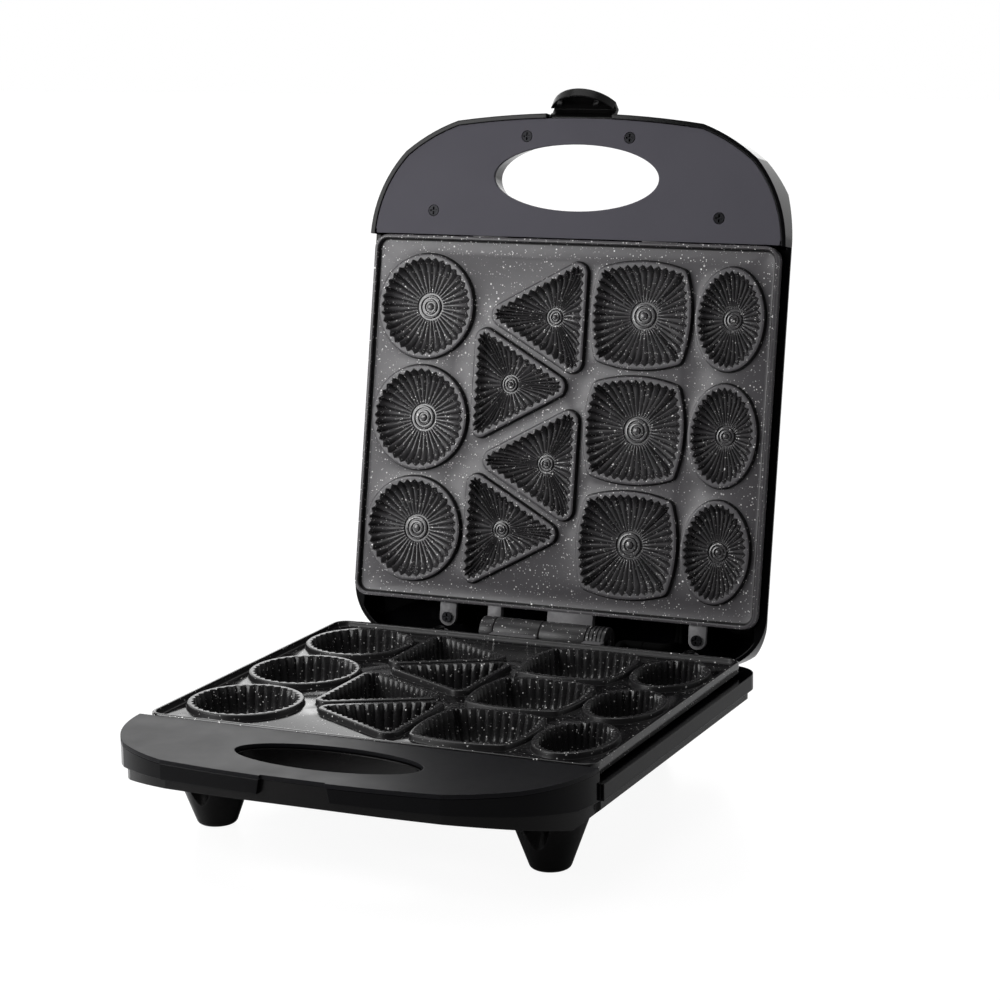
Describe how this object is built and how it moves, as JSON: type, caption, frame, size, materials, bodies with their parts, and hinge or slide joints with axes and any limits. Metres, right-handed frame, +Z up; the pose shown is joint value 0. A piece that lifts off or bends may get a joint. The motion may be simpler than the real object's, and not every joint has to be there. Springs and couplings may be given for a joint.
{
  "type": "sandwich and donut maker",
  "caption": "Countertop cake, sandwich and donut maker that opens like a book: cast plates with fluted shaped cups, hand holes through both handles, and a swinging latch.",
  "frame": {"origin": "on the table top, under the middle of the open machine's footprint", "axes": "+X to the user's right, +Y from the handle towards the hinge, +Z up; at rest the lid stands open and the latch is released"},
  "size_m": [0.248, 0.3556, 0.3478],
  "materials": {
    "gloss_black_plastic": "glossy moulded black",
    "satin_black_plastic": "satin moulded black",
    "panel_grey": "smooth dark grey panel",
    "coated_casting": "dark non-stick coating with pale specks",
    "zinc_steel": "zinc-plated steel",
    "heater_steel": "dull heater sheath",
    "tray_aluminium": "bright rolled sheet",
    "ceramic_white": "glazed ceramic",
    "foot_rubber": "matt black rubber",
    "lead_sleeve": "woven heat-proof sleeve",
    "board_green": "circuit board",
    "lamp_glass": "clear glass",
    "lens_red": "clear red lens"
  },
  "bodies": {
    "base": {"base_pan": "satin_black_plastic", "foot_pads": "foot_rubber", "base_frame": "gloss_black_plastic", "base_handle_cover": "panel_grey", "base_cover_screws": "zinc_steel", "lower_plate": "coated_casting", "lower_plate_screws": "zinc_steel", "lower_element": "heater_steel", "lower_terminals": "zinc_steel", "lower_reflector": "tray_aluminium", "lower_reflector_screws": "zinc_steel", "terminal_block": "ceramic_white", "terminal_block_screws": "zinc_steel", "cord_bush": "foot_rubber", "cord_clamp": "satin_black_plastic", "cord_clamp_screws": "zinc_steel", "base_leads": "lead_sleeve", "base_lead_sleeve": "lead_sleeve", "hinge_pin": "zinc_steel"},
    "lid": {"lid_housing": "gloss_black_plastic", "lid_handle_cover": "panel_grey", "lid_cover_screws": "zinc_steel", "upper_plate": "coated_casting", "upper_plate_screws": "zinc_steel", "upper_element": "heater_steel", "upper_terminals": "zinc_steel", "upper_reflector": "tray_aluminium", "upper_reflector_screws": "zinc_steel", "thermostat": "ceramic_white", "thermal_fuse": "tray_aluminium", "fuse_clip": "zinc_steel", "lamp_board": "board_green", "lamp_board_screws": "zinc_steel", "lamps": "lamp_glass", "lamp_lenses": "lens_red", "lid_leads": "lead_sleeve", "lid_lead_sleeve": "lead_sleeve", "latch_pin": "zinc_steel"},
    "latch": {"latch": "gloss_black_plastic"}
  },
  "joints": [
    {"name": "lid_hinge", "type": "hinge", "parent": "base", "child": "lid", "pos_m": [0, 0.10621, 0.0558], "axis": [1, 0, 0], "range_deg": [0, 100.8]},
    {"name": "latch_pivot", "type": "hinge", "parent": "lid", "child": "latch", "pos_m": [0, 0.16764, 0.33142], "axis": [1, 0, 0], "range_deg": [0, 35]}
  ]
}
